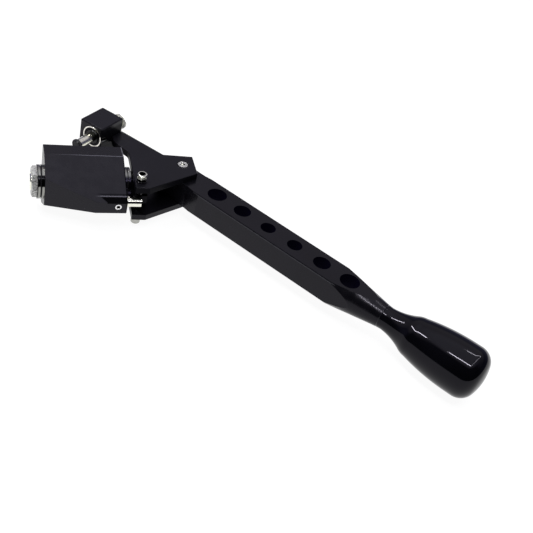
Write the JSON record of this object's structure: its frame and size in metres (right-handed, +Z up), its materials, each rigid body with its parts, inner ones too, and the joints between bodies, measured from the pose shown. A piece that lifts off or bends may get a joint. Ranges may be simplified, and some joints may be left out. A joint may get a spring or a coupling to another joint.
{
  "type": "short shifter",
  "caption": "Short shift lever: drilled square bar with turned neck and knob, on a two-plate fork that swings on a wedge-shaped pivot housing, with a rod-end block.",
  "frame": {"origin": "middle of the bounding box on the floor plane under the pivot housing", "axes": "+X along the lever bar to the knob, +Z up, at right angles to the fork plates"},
  "size_m": [0.4204, 0.1396, 0.0601],
  "materials": {
    "black_anodised": "satin black anodised, finely bead blasted",
    "knob_gloss": "polished gloss black",
    "zinc_steel": "bright zinc plated",
    "ground_steel": "ground bright steel",
    "washer_steel": "bright turned steel",
    "bearing_steel": "polished bearing steel",
    "black_steel": "blackened steel",
    "bronze": "plain sintered bronze",
    "liner_plastic": "dark low-friction liner"
  },
  "bodies": {
    "housing": {"pivot_housing": "black_anodised", "shaft_bush_nut_end": "bronze", "shaft_bush_knuckle_end": "bronze", "thrust_washers_housing_side": "washer_steel", "stop_pin": "ground_steel", "stop_pin_set_screw": "zinc_steel"},
    "shaft": {"shift_shaft": "ground_steel", "thrust_washers_shaft_side": "washer_steel", "thrust_liners": "liner_plastic", "shaft_lock_nut": "zinc_steel", "shaft_knuckle": "black_steel", "knuckle_pin": "ground_steel", "pivot_bush": "bronze"},
    "lever": {"fork_top_plate": "black_anodised", "fork_bottom_plate": "black_anodised", "fork_countersunk_screws": "zinc_steel", "pivot_bolt": "zinc_steel", "pivot_washers": "zinc_steel", "pivot_nut": "zinc_steel", "pivot_spacers": "zinc_steel", "lever_bar": "black_anodised", "knob_stud": "ground_steel", "knob": "knob_gloss", "link_block": "black_anodised", "link_bearing_race": "bearing_steel"},
    "bearing_liner": {"link_bearing_liner": "liner_plastic"},
    "link_pin": {"link_bearing_ball": "bearing_steel", "link_bolt": "zinc_steel", "link_sleeve_rear": "zinc_steel", "link_sleeve_front": "zinc_steel", "link_washer": "zinc_steel", "link_retaining_ring": "black_steel"}
  },
  "joints": [
    {"name": "shift_swing", "type": "hinge", "parent": "housing", "child": "shaft", "pos_m": [-0.16418, -0.02647, 0.0282], "axis": [0.6088, 0.7934, 0], "range_deg": [-12, 5]},
    {"name": "select_swing", "type": "hinge", "parent": "shaft", "child": "lever", "pos_m": [-0.12037, -0.00173, 0.0282], "axis": [0, 0, -1], "range_deg": [-1.2, 2.8]},
    {"name": "link_yaw", "type": "hinge", "parent": "lever", "child": "bearing_liner", "pos_m": [-0.19308, 0.01285, 0.0477], "axis": [0, 0, -1], "range_deg": [-1.5, 6]},
    {"name": "link_tilt", "type": "hinge", "parent": "bearing_liner", "child": "link_pin", "pos_m": [-0.19308, 0.01285, 0.0477], "axis": [0.9936, 0.1132, 0], "range_deg": [-2.5, 6]}
  ]
}
